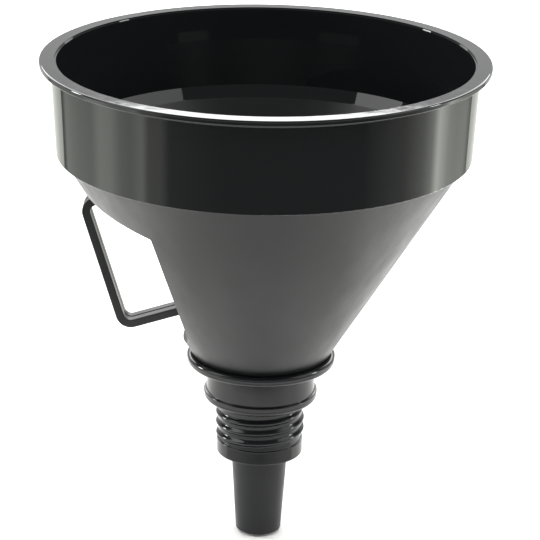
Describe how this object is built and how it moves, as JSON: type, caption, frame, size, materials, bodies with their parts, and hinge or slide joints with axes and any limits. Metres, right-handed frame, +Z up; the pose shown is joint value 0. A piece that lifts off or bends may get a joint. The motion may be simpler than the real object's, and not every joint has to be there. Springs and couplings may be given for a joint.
{
  "type": "filling funnel",
  "caption": "Round black plastic filling funnel: collared cone bowl with a strap handle in a finger recess, and a threaded push-on outlet with tapered nozzle and lift-out strainer.",
  "frame": {"origin": "centre of the nozzle's lower mouth", "axes": "+Z up along the funnel's axis to the rim, and the handle is on the -X side"},
  "size_m": [0.16, 0.16, 0.183],
  "materials": {
    "bowl_polypropylene": "moulded, semi-gloss",
    "outlet_polypropylene": "moulded, satin",
    "seal_rubber": "moulded nitrile rubber",
    "strainer_polypropylene": "moulded, satin",
    "brass_gauze": "woven wire"
  },
  "bodies": {
    "outlet": {"outlet_coupling": "outlet_polypropylene", "nozzle": "outlet_polypropylene", "seal_ring": "seal_rubber"},
    "bowl": {"bowl": "bowl_polypropylene", "handle": "bowl_polypropylene"},
    "strainer": {"strainer_frame": "strainer_polypropylene", "strainer_gauze": "brass_gauze"}
  },
  "joints": [
    {"name": "bowl_pull", "type": "slide", "parent": "outlet", "child": "bowl", "axis": [0, 0, 1], "range_m": [0, 0.03]},
    {"name": "strainer_lift", "type": "slide", "parent": "bowl", "child": "strainer", "axis": [0, 0, 1], "range_m": [0, 0.12]}
  ]
}
